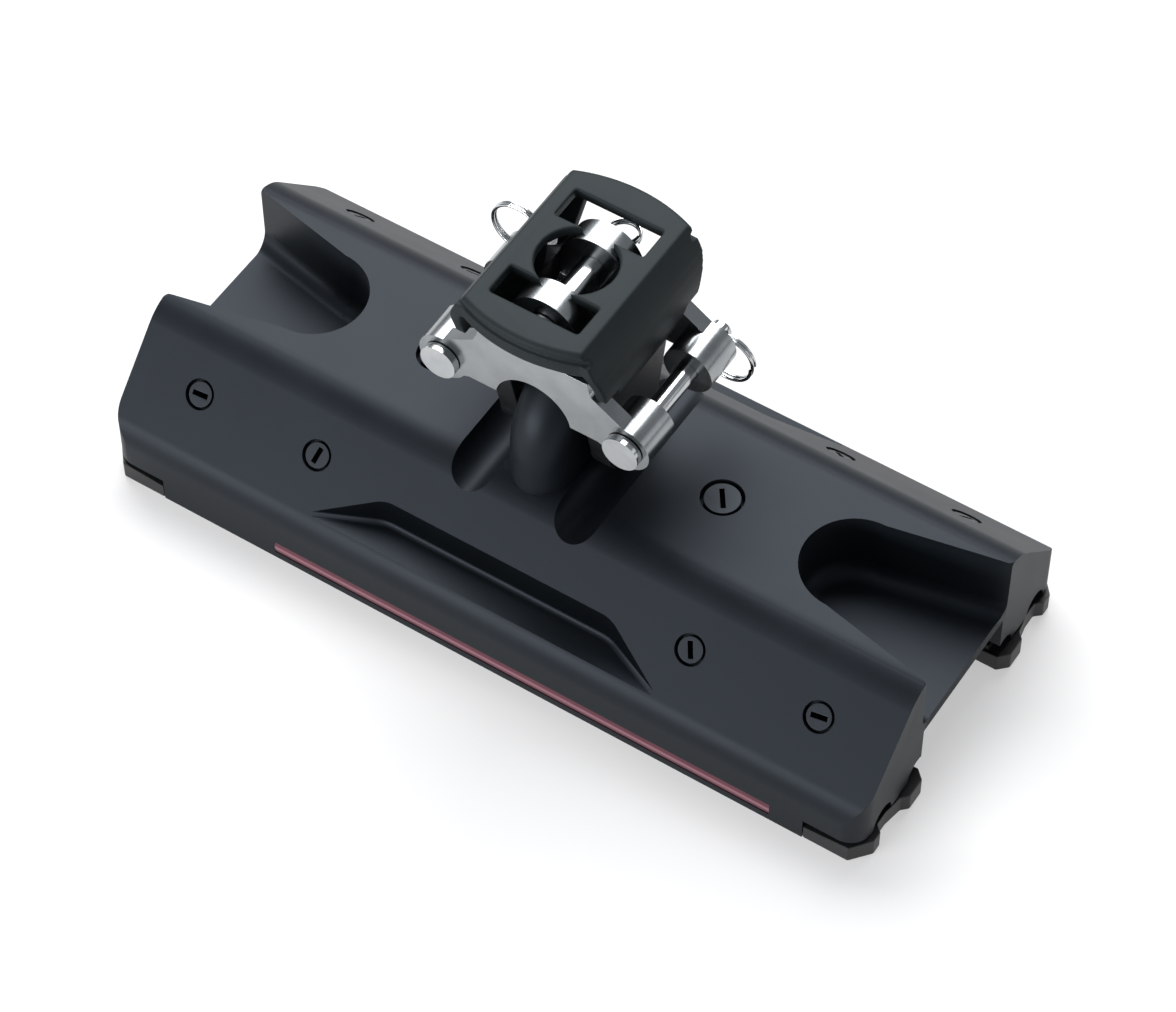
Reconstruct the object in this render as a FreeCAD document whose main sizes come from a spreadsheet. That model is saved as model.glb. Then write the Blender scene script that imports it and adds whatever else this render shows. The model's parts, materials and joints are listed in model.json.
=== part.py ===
import FreeCAD, Part
import math
import os
import Sketcher

# Mainsheet traveller car. X runs along the track, Y across it, Z up, origin under the middle
# of the car at the level of the bottom of its legs. All lengths are in millimetres.

os.makedirs("parts", exist_ok=True)
doc = FreeCAD.newDocument("TravellerCar")
sheet = doc.addObject("Spreadsheet::Sheet", "Sizes")
Vector = FreeCAD.Vector
Rotation = FreeCAD.Rotation


class Size:
    # a value together with the sheet formula it comes from
    def __init__(self, value, text):
        self.value = value
        self.text = text

    def join(self, other, sign, result, swap=False):
        left, right = self.text, other.text if isinstance(other, Size) else repr(other)
        if swap:
            left, right = right, left
        return Size(result, "(" + left + " " + sign + " " + right + ")")

    def __add__(self, other):
        return self.join(other, "+", self.value + number(other))

    def __radd__(self, other):
        return self.join(other, "+", number(other) + self.value, True)

    def __sub__(self, other):
        return self.join(other, "-", self.value - number(other))

    def __rsub__(self, other):
        return self.join(other, "-", number(other) - self.value, True)

    def __mul__(self, other):
        return self.join(other, "*", self.value * number(other))

    def __rmul__(self, other):
        return self.join(other, "*", number(other) * self.value, True)

    def __truediv__(self, other):
        return self.join(other, "/", self.value / number(other))

    def __neg__(self):
        return Size(-self.value, "(-1 * " + self.text + ")")


def number(size):
    return size.value if isinstance(size, Size) else float(size)


rows = 0


def size(name, value):
    global rows
    rows += 1
    sheet.set("A" + str(rows), name.replace("_", " "))
    sheet.set("B" + str(rows), str(value))
    sheet.setAlias("B" + str(rows), name)
    return Size(float(value), "Sizes." + name)


def slope_of(rise, run):
    text = "atan(" + rise.text + " / " + run.text + ")"
    return Size(math.degrees(math.atan2(rise.value, run.value)), text)


def bind(item, path, value):
    if isinstance(value, Size):
        item.setExpression(path, value.text)


# Car body
car_length = size("car_length", 261)
car_half_width = size("car_half_width", 57)
shoulder_height = size("shoulder_height", 21.1)
top_height = size("top_height", 51.5)
top_half_width = size("top_half_width", 28.4)
track_half_width = size("track_half_width", 22.7)
track_ceiling = size("track_ceiling", 25.6)
ridge_round = size("ridge_round", 15)
shoulder_round = size("shoulder_round", 13)
corner_round = size("corner_round", 7)

# Ball races
ball_diameter = size("ball_diameter", 9.5)
ball_height = size("ball_height", 8.5)
race_offset = size("race_offset", 2.3)
row_spacing = size("row_spacing", 19)
race_clearance = size("race_clearance", 0.25)
ball_pitch = size("ball_pitch", 9.7)

# End caps
cap_length = size("cap_length", 18.5)
cap_height = size("cap_height", 8.3)
cap_reach = size("cap_reach", 2.6)
cap_nose = size("cap_nose", 11.5)
cap_nose_round = size("cap_nose_round", 3)
cap_slot = size("cap_slot", 3)
cap_slot_end = size("cap_slot_end", 1.2)
cap_edge = size("cap_edge", 0.6)
cap_clearance = size("cap_clearance", 0.2)
cap_key = size("cap_key", 4.2)
cap_key_height = size("cap_key_height", 7)

# End scoops
scoop_reach = size("scoop_reach", 53.5)
scoop_inner = size("scoop_inner", 16.5)
scoop_mouth = size("scoop_mouth", 24.2)
scoop_web = size("scoop_web", 1.8)
scoop_round = size("scoop_round", 9)

# Milled step in each slope
step_floor = size("step_floor", 24.8)
step_wall = size("step_wall", 43.4)
step_half = size("step_half", 39)
step_tip = size("step_tip", 61.5)
step_round = size("step_round", 14)
step_foot = size("step_foot", 1.6)

# Hump and the channels beside it
pivot_rise = size("pivot_rise", 10.5)
hump_half = size("hump_half", 9.6)
hump_radius = size("hump_radius", 28)
channel_shift = size("channel_shift", 5.8)
channel_radius = size("channel_radius", 7.4)
channel_gap = size("channel_gap", 4)

# Screws in the body
slope_screw_inner = size("slope_screw_inner", 64.4)
slope_screw_outer = size("slope_screw_outer", 106.7)
slope_screw_side = size("slope_screw_side", 41.7)
slope_seat_radius = size("slope_seat_radius", 4.8)
slope_seat_depth = size("slope_seat_depth", 3)
slope_head_gap = size("slope_head_gap", 0.9)
slope_shank_radius = size("slope_shank_radius", 2.5)
slope_shank_length = size("slope_shank_length", 8)
centre_screw = size("centre_screw", 49.1)
centre_seat_radius = size("centre_seat_radius", 6.6)
centre_seat_depth = size("centre_seat_depth", 4)
centre_head_gap = size("centre_head_gap", 1.2)
centre_shank_radius = size("centre_shank_radius", 3)
centre_shank_length = size("centre_shank_length", 10)
head_sink = size("head_sink", 0.4)
slot_width = size("slot_width", 1.5)
slot_depth = size("slot_depth", 1.2)
thread_gap = size("thread_gap", 0.05)

# Stripe on each side
stripe_start = size("stripe_start", 71)
stripe_finish = size("stripe_finish", 101)
stripe_height = size("stripe_height", 4.9)
stripe_width = size("stripe_width", 4.8)
stripe_depth = size("stripe_depth", 0.6)
stripe_proud = size("stripe_proud", 0.05)
stripe_crown = size("stripe_crown", 0.35)

# Pivot through the hump
pivot_radius = size("pivot_radius", 6)
pivot_gap = size("pivot_gap", 0.05)
bush_wall = size("bush_wall", 1)
bush_end_gap = size("bush_end_gap", 0.3)
cheek_gap = size("cheek_gap", 2.3)
cheek_thick = size("cheek_thick", 7)
cheek_radius = size("cheek_radius", 12.5)
pivot_head_rim = size("pivot_head_rim", 1.8)
pivot_head_thick = size("pivot_head_thick", 2.2)
clip_rim = size("clip_rim", 2)
clip_thick = size("clip_thick", 1.2)
clip_groove = size("clip_groove", 0.8)
clip_gap = size("clip_gap", 0.3)
pivot_tail = size("pivot_tail", 1.2)
bridge_rise = size("bridge_rise", 29.5)
bridge_thick = size("bridge_thick", 7)
bridge_side = size("bridge_side", 11)

# Toggle fork
fork_half = size("fork_half", 11.3)
fork_inner = size("fork_inner", 8.5)
fork_side_gap = size("fork_side_gap", 1.2)
fork_web = size("fork_web", 4.5)
fork_throat = size("fork_throat", 9.5)
fork_pin_radius = size("fork_pin_radius", 4.75)
fork_pin_head = size("fork_pin_head", 5.85)
fork_pin_head_thick = size("fork_pin_head_thick", 2.4)
fork_pin_tail_radius = size("fork_pin_tail_radius", 2.6)
fork_pin_tail = size("fork_pin_tail", 5.2)
fork_ring_stand = size("fork_ring_stand", 2.8)
running_gap = size("running_gap", 0.08)
face_gap = size("face_gap", 0.35)

# Control plates
plate_outer = size("plate_outer", 23.2)
plate_thick = size("plate_thick", 5)
plate_depth = size("plate_depth", 22.9)
plate_step = size("plate_step", 4.7)
plate_half = size("plate_half", 18.2)
arch_side = size("arch_side", 3)
arch_clearance = size("arch_clearance", 3.8)
lug_offset = size("lug_offset", 30.5)
lug_rise = size("lug_rise", 24.4)
lug_radius = size("lug_radius", 8)
lug_inner = size("lug_inner", 9.8)

# Control pins and split rings
ear_pin_radius = size("ear_pin_radius", 3.15)
ear_pin_head = size("ear_pin_head", 5.8)
ear_pin_head_thick = size("ear_pin_head_thick", 2.3)
ear_pin_tail = size("ear_pin_tail", 5.2)
ear_ring_stand = size("ear_ring_stand", 2.4)
ear_ring_radius = size("ear_ring_radius", 8.2)
fork_ring_radius = size("fork_ring_radius", 4.6)
ring_wire = size("ring_wire", 0.6)
ear_ring_hole = size("ear_ring_hole", 1.4)
fork_ring_hole = size("fork_ring_hole", 1.55)

# Boot
boot_half = size("boot_half", 25.2)
boot_flank = size("boot_flank", 30.5)
boot_waist_drop = size("boot_waist_drop", 18.3)
boot_cover = size("boot_cover", 0.9)
boot_bow = size("boot_bow", 18)
boot_overhang = size("boot_overhang", 9)
boot_skirt = size("boot_skirt", 10.8)
boot_corner = size("boot_corner", 8)
boot_wall = size("boot_wall", 3.4)
boot_gap = size("boot_gap", 0.3)
boot_lip = size("boot_lip", 1.3)
boot_knee_drop = size("boot_knee_drop", 8.2)
boot_groove = size("boot_groove", 1.2)
boot_groove_drop = size("boot_groove_drop", 3.3)
boot_groove_half = size("boot_groove_half", 1.1)
boot_wing_drop = size("boot_wing_drop", 3.3)
boot_wing_foot = size("boot_wing_foot", 0.8)
boot_wing_head = size("boot_wing_head", 5.2)
window_half = size("window_half", 14.6)
window_inner = size("window_inner", 11)
window_outer = size("window_outer", 22)
window_gap = size("window_gap", 0.7)
access_half = size("access_half", 14.5)
access_drop = size("access_drop", 5.7)
doc.recompute()

half_length = car_length / 2
slope_rise = top_height - shoulder_height
slope_run = car_half_width - top_half_width
slope_angle = slope_of(slope_rise, slope_run)
load_row = track_half_width + race_offset
return_row = load_row + row_spacing
row_middle = (load_row + return_row) / 2
balls_in_row = int(number(car_length - 2 * cap_length) / number(ball_pitch))
scoop_floor = track_ceiling + scoop_web
slope_head_radius = slope_seat_radius - slope_head_gap
centre_head_radius = centre_seat_radius - centre_head_gap

# Heights of the toggle, from the pivot up
pivot_height = top_height + pivot_rise
channel_floor = pivot_height - cheek_radius - channel_gap
hump_root = (track_ceiling + channel_floor) / 2
bridge_bottom = pivot_height + bridge_rise
bridge_top = bridge_bottom + bridge_thick
fork_base = bridge_top + fork_web
fork_pin_height = fork_base + fork_throat
plate_top = fork_pin_height - fork_pin_head - face_gap
plate_shelf = plate_top - plate_step
plate_bottom = plate_top - plate_depth
arch_radius = hump_half + arch_side
arch_height = pivot_height + hump_radius + arch_clearance - arch_radius
lug_height = pivot_height + lug_rise
boot_top = fork_pin_height + fork_half + boot_cover
boot_bottom = plate_top - boot_skirt
boot_knee = boot_top - boot_knee_drop
boot_groove_height = boot_top - boot_groove_drop
boot_waist = boot_top - boot_waist_drop

# Widths of the toggle, from the hump out and from the plates in
bush_radius = pivot_radius + bush_wall
hump_bore = bush_radius + pivot_gap
cheek_inner = hump_half + cheek_gap
cheek_outer = cheek_inner + cheek_thick
channel_offset = cheek_inner + channel_shift
clip_radius = pivot_radius + clip_rim
plate_inner = plate_outer - plate_thick
fork_outer = plate_inner - fork_side_gap
fork_ring_plane = fork_outer + fork_ring_stand
ear_ring_plane = plate_outer + ear_ring_stand
boot_side_depth = plate_inner - boot_gap
boot_seat_depth = plate_outer + boot_lip
boot_depth = plate_outer + boot_overhang
window_radius = fork_half + window_gap
pieces = {}


# Sketches and features
def body(name):
    item = doc.addObject("PartDesign::Body", name)
    item.Label = name
    return item


def sketch(owner, name, role, polygons=(), circles=(), lift=0, across=0, up=0, tilt=None):
    item = owner.newObject("Sketcher::SketchObject", name)
    base = [part for part in owner.Origin.OriginFeatures if part.Role == role][0]
    item.AttachmentSupport = (base, [""])
    item.MapMode = "FlatFace"
    turn = Rotation(Vector(1, 0, 0), number(tilt) if tilt else 0)
    offset = Vector(number(across), number(up), number(lift))
    item.AttachmentOffset = FreeCAD.Placement(offset, turn)
    bind(item, "AttachmentOffset.Base.x", across)
    bind(item, "AttachmentOffset.Base.y", up)
    bind(item, "AttachmentOffset.Base.z", lift)
    if tilt:
        bind(item, "AttachmentOffset.Rotation.Angle", tilt)
    for points in polygons:
        add_polygon(item, points)
    for circle in circles:
        add_circle(item, circle)
    doc.recompute()
    return item


def place_point(item, line, corner, point):
    for kind, value in zip(("DistanceX", "DistanceY"), point):
        rule = Sketcher.Constraint(kind, -1, 1, line, corner, number(value))
        index = item.addConstraint(rule)
        bind(item, "Constraints[" + str(index) + "]", value)


def add_polygon(item, points):
    spots = [Vector(number(u), number(v), 0) for u, v in points]
    following = spots[1:] + spots[:1]
    lines = [item.addGeometry(Part.LineSegment(a, b), False) for a, b in zip(spots, following)]
    for line, after in zip(lines, lines[1:] + lines[:1]):
        item.addConstraint(Sketcher.Constraint("Coincident", line, 2, after, 1))
    for line, point in zip(lines, points):
        place_point(item, line, 1, point)


def add_circle(item, circle):
    u, v, radius = circle
    shape = Part.Circle(Vector(number(u), number(v), 0), Vector(0, 0, 1), number(radius))
    index = item.addGeometry(shape, False)
    place_point(item, index, 3, (u, v))
    rule = item.addConstraint(Sketcher.Constraint("Radius", index, number(radius)))
    bind(item, "Constraints[" + str(rule) + "]", radius)


def extrude(kind, owner, profile, length, side="Symmetric", back=False):
    item = owner.newObject("PartDesign::" + kind, profile.Name + kind)
    item.Profile = profile
    item.Length = number(length)
    bind(item, "Length", length)
    item.SideType = side
    item.Reversed = back
    profile.Visibility = False
    before = owner.Shape.Volume if kind == "Pocket" else 0
    doc.recompute()
    if kind == "Pocket" and owner.Shape.Volume > before - 0.01:
        raise ValueError(profile.Name + " cuts nothing")
    return item


def pad(owner, profile, length, side="Symmetric", back=False):
    return extrude("Pad", owner, profile, length, side, back)


def pocket(owner, profile, length, side="Symmetric", back=False):
    return extrude("Pocket", owner, profile, length, side, back)


def edges_where(owner, test):
    names = []
    for index, edge in enumerate(owner.Shape.Edges):
        first, last = edge.Vertexes[0].Point, edge.Vertexes[-1].Point
        middle = edge.valueAt((edge.FirstParameter + edge.LastParameter) / 2)
        if test(first, last, middle):
            names.append("Edge" + str(index + 1))
    return names


def dress(kind, owner, name, amount, test):
    names = edges_where(owner, test)
    if not names:
        raise ValueError(name + " finds no edge")
    base = owner.Tip
    item = owner.newObject("PartDesign::" + kind, name)
    item.Base = (base, names)
    field = "Radius" if kind == "Fillet" else "Size"
    setattr(item, field, number(amount))
    bind(item, field, amount)
    doc.recompute()
    if "Invalid" in item.State:
        raise ValueError(name + " fails on " + str(len(names)) + " edges")
    return item


def near(value, target, slack=0.05):
    return abs(value - number(target)) < slack


# Part solids
def simple(kind, name, sizes, at=(0, 0, 0), axis=None, angle=0):
    item = doc.addObject("Part::" + kind, name)
    for field, value in sizes.items():
        setattr(item, field, number(value))
        bind(item, field, value)
    turn = Rotation(Vector(*axis), angle) if axis else Rotation()
    item.Placement = FreeCAD.Placement(Vector(*[number(value) for value in at]), turn)
    for letter, value in zip("xyz", at):
        bind(item, "Placement.Base." + letter, value)
    return item


def rod(name, radius, length, at, along="Z"):
    axis = {"X": (0, 1, 0), "Y": (1, 0, 0), "Z": None}[along]
    angle = {"X": 90, "Y": -90, "Z": 0}[along]
    return simple("Cylinder", name, {"Radius": radius, "Height": length}, at, axis, angle)


def block(name, low, high):
    spans = [top - bottom for bottom, top in zip(low, high)]
    fields = dict(zip(("Length", "Width", "Height"), spans))
    return simple("Box", name, fields, low)


def cut(name, base, tool):
    item = doc.addObject("Part::Cut", name)
    item.Base, item.Tool = base, tool
    return item


def fuse(name, items):
    item = doc.addObject("Part::MultiFuse", name)
    item.Shapes = items
    item.Refine = True
    return item


def common(name, items):
    item = doc.addObject("Part::MultiCommon", name)
    item.Shapes = items
    return item


def group(name, items):
    item = doc.addObject("Part::Compound", name)
    item.Links = items
    return item


def keep(name, item):
    item.Label = name
    pieces[name] = item


# Car body: one bar with a track channel below and a scoop at each end
car = body("car_body")
section = sketch(car, "CarSection", "YZ_Plane", [[
    (car_half_width, 0), (car_half_width, shoulder_height), (top_half_width, top_height),
    (-top_half_width, top_height), (-car_half_width, shoulder_height), (-car_half_width, 0),
    (-track_half_width, 0), (-track_half_width, track_ceiling),
    (track_half_width, track_ceiling), (track_half_width, 0)]])
pad(car, section, car_length)
dress("Fillet", car, "RidgeRound", ridge_round,
      lambda a, b, m: near(m.z, top_height) and near(abs(m.y), top_half_width))
dress("Fillet", car, "ShoulderRound", shoulder_round,
      lambda a, b, m: near(m.z, shoulder_height) and near(abs(m.y), car_half_width))

scoop_centre = half_length - scoop_reach + scoop_inner
for name, side in (("Left", -1), ("Right", 1)):
    mouth = sketch(car, name + "ScoopMouth", "XY_Plane", [[
        (side * scoop_centre, scoop_inner), (side * scoop_centre, -scoop_inner),
        (side * (half_length + 2), -scoop_mouth - 0.4),
        (side * (half_length + 2), scoop_mouth + 0.4)]], lift=top_height + 1)
    pocket(car, mouth, top_height + 1 - scoop_floor, "One side")
    bowl = sketch(car, name + "ScoopBowl", "XY_Plane", [],
                  [(side * scoop_centre, 0, scoop_inner)], lift=top_height + 1)
    pocket(car, bowl, top_height + 1 - scoop_floor, "One side")
dress("Fillet", car, "ScoopRound", scoop_round,
      lambda a, b, m: near(m.z, scoop_floor) and abs(m.x) < number(half_length) - 0.1
      and near(a.z, scoop_floor) and near(b.z, scoop_floor))

# Channels beside the hump, then the hump itself: a round lug with a crowned rim
channel_centre = channel_floor + channel_radius
trenches = sketch(car, "Channels", "XZ_Plane", [], [
    (-channel_offset, channel_centre, channel_radius),
    (channel_offset, channel_centre, channel_radius)])
pocket(car, trenches, 2 * car_half_width)
post = sketch(car, "HumpPost", "XY_Plane", [[
    (-hump_half, hump_half - hump_radius), (hump_half, hump_half - hump_radius),
    (hump_half, hump_radius - hump_half), (-hump_half, hump_radius - hump_half)]],
    lift=pivot_height)
pad(car, post, pivot_height - hump_root, "One side", True)
for name, side in (("Near", -1), ("Far", 1)):
    nose = sketch(car, name + "HumpNose", "XY_Plane", [],
                  [(0, side * (hump_radius - hump_half), hump_half)], lift=pivot_height)
    pad(car, nose, pivot_height - hump_root, "One side", True)
disc = sketch(car, "HumpDisc", "YZ_Plane", [], [(0, pivot_height, hump_radius - hump_half)])
pad(car, disc, 2 * hump_half)
rim = sketch(car, "HumpRim", "XY_Plane", [], [(0, hump_radius - hump_half, hump_half)],
             lift=pivot_height)
crown = car.newObject("PartDesign::Revolution", "HumpCrown")
crown.Profile = rim
crown.ReferenceAxis = (rim, ["H_Axis"])
crown.Angle = 360
doc.recompute()
bore = sketch(car, "HumpBore", "YZ_Plane", [], [(0, pivot_height, hump_bore)])
pocket(car, bore, 4 * hump_half)

# Ball races: an open groove for the loaded row and a closed return tunnel in each leg
races = sketch(car, "Races", "YZ_Plane", [], [
    (side * row, ball_height, ball_diameter / 2 + race_clearance)
    for side in (-1, 1) for row in (load_row, return_row)])
pocket(car, races, car_length + 10)

# Room for the end caps and the seats of the screws
for name, side in (("Left", -1), ("Right", 1)):
    notch = sketch(car, name + "CapRoom", "XY_Plane", [[
        (side * (half_length - cap_length), -car_half_width - 2),
        (side * (half_length + 5), -car_half_width - 2),
        (side * (half_length + 5), car_half_width + 2),
        (side * (half_length - cap_length), car_half_width + 2)]])
    pocket(car, notch, cap_height, "One side", True)


def key_outline(x, y, half):
    middle = x * (half_length - cap_length / 2)
    return [(middle - half, y * row_middle - half), (middle + half, y * row_middle - half),
            (middle + half, y * row_middle + half), (middle - half, y * row_middle + half)]


key_holes = sketch(car, "KeyHoles", "XY_Plane",
                   [key_outline(x, y, cap_key / 2) for x in (-1, 1) for y in (-1, 1)])
pocket(car, key_holes, cap_height + cap_key_height, "One side", True)
screw_drop = car_half_width - slope_screw_side
screw_level = shoulder_height + screw_drop * slope_rise / slope_run
slope_spots = (-slope_screw_outer, -slope_screw_inner, slope_screw_inner, slope_screw_outer)
for name, side in (("Near", -1), ("Far", 1)):
    for part, radius, depth in (
            ("Seats", slope_seat_radius, slope_seat_depth),
            ("Threads", slope_shank_radius + thread_gap, slope_seat_depth + slope_shank_length)):
        seats = sketch(car, name + part, "XY_Plane", [],
                       [(spot, 0, radius) for spot in slope_spots],
                       up=side * slope_screw_side, lift=screw_level, tilt=-side * slope_angle)
        pocket(car, seats, depth, "One side")
for part, radius, depth in (
        ("CentreSeats", centre_seat_radius, centre_seat_depth),
        ("CentreThreads", centre_shank_radius + thread_gap,
         centre_seat_depth + centre_shank_length)):
    seats = sketch(car, part, "XY_Plane", [],
                   [(-centre_screw, 0, radius), (centre_screw, 0, radius)], lift=top_height)
    pocket(car, seats, depth, "One side")

# Shallow grooves for the stripes
for name, side in (("Near", -1), ("Far", 1)):
    groove = sketch(car, name + "StripeGroove", "XZ_Plane", [[
        (side * stripe_start, stripe_height - stripe_width / 2),
        (-side * stripe_finish, stripe_height - stripe_width / 2),
        (-side * stripe_finish, stripe_height + stripe_width / 2),
        (side * stripe_start, stripe_height + stripe_width / 2)]],
        lift=-side * (car_half_width - stripe_depth))
    pocket(car, groove, 3, "One side", side < 0)

# Steps cut level into both slopes by a prism with a rounded foot
cutters = []
slope_line = car_half_width - (step_floor - shoulder_height) * slope_run / slope_rise
outside = car_half_width + 4
flare = step_half + (step_tip - step_half) * (outside - step_wall) / (slope_line - step_wall)
for name, side in (("Near", -1), ("Far", 1)):
    cutter = body(name + "StepCutter")
    level = sketch(cutter, name + "Step", "XY_Plane", [[
        (-flare, side * outside), (-step_half, side * step_wall), (step_half, side * step_wall),
        (flare, side * outside)]], lift=step_floor)
    pad(cutter, level, top_height - step_floor, "One side")
    dress("Fillet", cutter, name + "StepRound", step_round,
          lambda a, b, m: near(abs(m.x), step_half) and near(abs(m.y), step_wall)
          and abs(a.z - b.z) > 3)
    dress("Fillet", cutter, name + "StepFoot", step_foot,
          lambda a, b, m: near(m.z, step_floor) and abs(m.y) < number(outside) - 1)
    cutters.append(cutter)

# Plan of the car with its upright corners rounded
plan_form = body("CarPlan")
plan = sketch(plan_form, "CarOutline", "XY_Plane", [[
    (-half_length, -car_half_width), (half_length, -car_half_width),
    (half_length, car_half_width), (-half_length, car_half_width)]], lift=-1)
pad(plan_form, plan, 2 * pivot_height, "One side")
dress("Fillet", plan_form, "CornerRound", corner_round,
      lambda a, b, m: near(abs(m.x), half_length) and near(abs(m.y), car_half_width)
      and abs(a.z - b.z) > 5)
milled = cut("CarMilled", car, fuse("StepCutters", cutters))
keep("car_body", common("car_body", [milled, plan_form]))

# Stripes: a thin red bar with a crowned face in each groove
crown = (stripe_width * stripe_width / 4 + stripe_crown * stripe_crown) / (2 * stripe_crown)
for name, side in (("near", -1), ("far", 1)):
    spans = sorted([side * stripe_start, -side * stripe_finish], key=number)
    depths = sorted([side * (car_half_width - stripe_depth),
                     side * (car_half_width + stripe_proud)], key=number)
    bar = block(name + "StripeBar",
                (spans[0], depths[0], stripe_height - stripe_width / 2),
                (spans[1], depths[1], stripe_height + stripe_width / 2))
    round_face = rod(name + "StripeCrown", crown, 2 * stripe_finish + 10,
                     (-stripe_finish - 5, side * (car_half_width + stripe_proud - crown),
                      stripe_height), "X")
    keep("stripe_" + name, common("crowned_stripe_" + name, [bar, round_face]))

# End caps: a block below each end of each leg, with two rounded noses past the end
for end, x in (("left", -1), ("right", 1)):
    for place, y in (("near", -1), ("far", 1)):
        name = "cap_" + end + "_" + place
        cap = body(name)
        inner = half_length - cap_length + cap_clearance
        nose_line = half_length + cap_reach
        middle = (car_half_width + track_half_width) / 2
        cap_low = track_half_width + cap_clearance
        plan = sketch(cap, name + "_plan", "XY_Plane", [[
            (x * inner, y * cap_low), (x * (nose_line - cap_nose_round), y * cap_low),
            (x * nose_line, y * (cap_low + cap_nose_round)),
            (x * nose_line, y * (cap_low + cap_nose - 2)),
            (x * (nose_line - 2), y * (cap_low + cap_nose)),
            (x * (half_length - 0.6), y * (middle + 1)),
            (x * (nose_line - 3.2), y * (car_half_width - cap_nose)),
            (x * (nose_line - 1), y * (car_half_width - cap_nose + 2)),
            (x * (nose_line - 1), y * (car_half_width - 6)),
            (x * (nose_line - 6), y * car_half_width), (x * inner, y * car_half_width)]])
        pad(cap, plan, cap_height - cap_slot_end, "One side")
        slot = sketch(cap, name + "_slot", "XZ_Plane", [[
            (x * inner, cap_height - cap_slot), (x * nose_line, cap_height - cap_slot_end),
            (x * nose_line, cap_height), (x * inner, cap_height)]])
        pocket(cap, slot, 3 * car_half_width)
        step = sketch(cap, name + "_step", "XY_Plane", [[
            (x * inner, y * (cap_low + 1)), (x * (half_length - 4), y * (cap_low + 1)),
            (x * (half_length - 4), y * (car_half_width - 2.5)),
            (x * inner, y * (car_half_width - 2.5))]])
        pad(cap, step, cap_height, "One side")
        key = sketch(cap, name + "_key", "XY_Plane", [
            key_outline(x, y, cap_key / 2 - thread_gap)])
        pad(cap, key, cap_height + cap_key_height - 0.5, "One side")
        dress("Fillet", cap, name + "_round", cap_edge,
              lambda a, b, m: near(m.z, 0) and near(a.z, 0) and near(b.z, 0))
        keep(name, cap)

# Balls of the loaded rows, each a coarse round solid
ball_rings = ((0.924, 0.383), (0.383, 0.924))
ball_sides = 8


def coarse_ball(centre, radius):
    rings = []
    for level, spread in [(-high, wide) for high, wide in ball_rings] + [
            (high, wide) for high, wide in reversed(ball_rings)]:
        turns = [2 * math.pi * step / ball_sides for step in range(ball_sides)]
        rings.append([centre + Vector(math.cos(turn) * spread, math.sin(turn) * spread,
                                      level) * radius for turn in turns])
    faces = [Part.Face(Part.makePolygon(ring + ring[:1])) for ring in (rings[0], rings[-1])]
    for lower, upper in zip(rings, rings[1:]):
        for step in range(ball_sides):
            after = (step + 1) % ball_sides
            corners = [lower[step], lower[after], upper[after], upper[step], lower[step]]
            faces.append(Part.Face(Part.makePolygon(corners)))
    solid = Part.Solid(Part.Shell(faces))
    if solid.Volume < 0:
        solid.reverse()
    return solid


for name, side in (("balls_near", -1), ("balls_far", 1)):
    row = doc.addObject("Part::Feature", name)
    starts = [(step - (balls_in_row - 1) / 2) * sheet.ball_pitch for step in range(balls_in_row)]
    across = sheet.track_half_width + sheet.race_offset
    row.Shape = Part.makeCompound([
        coarse_ball(Vector(start, side * across, sheet.ball_height), sheet.ball_diameter / 2)
        for start in starts])
    keep(name, row)


# Slotted screws: a head on the seat, a shank in the hole and a slot across the head
def screw(name, head_radius, head_height, shank_radius, shank_length, slot_turn):
    head = rod(name + "Head", head_radius, head_height, (0, 0, 0))
    shank = rod(name + "Shank", shank_radius, shank_length, (0, 0, -1 * shank_length))
    slot = simple("Box", name + "Slot", {
        "Length": head_radius * 1.3, "Width": slot_width, "Height": slot_depth + 1},
        (-0.65 * head_radius, -0.5 * slot_width, head_height - slot_depth))
    turned = group(name + "Turned", [cut(name + "Slotted", fuse(name + "Whole", [head, shank]),
                                         slot)])
    turned.Placement = FreeCAD.Placement(Vector(0, 0, 0), Rotation(Vector(0, 0, 1), slot_turn))
    return turned


slope_turns = {("near", 0): 5, ("near", 1): 80, ("near", 2): 115, ("near", 3): 8,
               ("far", 0): 70, ("far", 1): 20, ("far", 2): 130, ("far", 3): 60}
slope_screws = []
for place, side in (("near", -1), ("far", 1)):
    for index, spot in enumerate(slope_spots):
        name = "slope_" + place + str(index)
        whole = screw(name, slope_head_radius, slope_seat_depth - head_sink, slope_shank_radius,
                      slope_shank_length - 0.5, slope_turns[(place, index)])
        seated = group(name + "Seated", [whole])
        seated.Placement = FreeCAD.Placement(
            Vector(0, 0, 0), Rotation(Vector(1, 0, 0), -side * number(slope_angle)))
        sine = slope_rise * slope_seat_depth / (slope_rise * slope_rise
                                                + slope_run * slope_run).value ** 0.5
        cosine = slope_run * slope_seat_depth / (slope_rise * slope_rise
                                                 + slope_run * slope_run).value ** 0.5
        bind(seated, "Placement.Rotation.Angle", -side * slope_angle)
        for letter, value in zip("xyz", (spot, side * (slope_screw_side - sine),
                                         screw_level - cosine)):
            bind(seated, "Placement.Base." + letter, value)
        slope_screws.append(seated)
keep("slope_screws", group("slope_screws", slope_screws))
centre_screws = []
for index, side in enumerate((-1, 1)):
    name = "centre_" + str(index)
    whole = screw(name, centre_head_radius, centre_seat_depth - head_sink, centre_shank_radius,
                  centre_shank_length - 0.5, (35, 125)[index])
    seated = group(name + "Seated", [whole])
    bind(seated, "Placement.Base.x", side * centre_screw)
    bind(seated, "Placement.Base.z", top_height - centre_seat_depth)
    centre_screws.append(seated)
keep("centre_screws", group("centre_screws", centre_screws))

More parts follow.
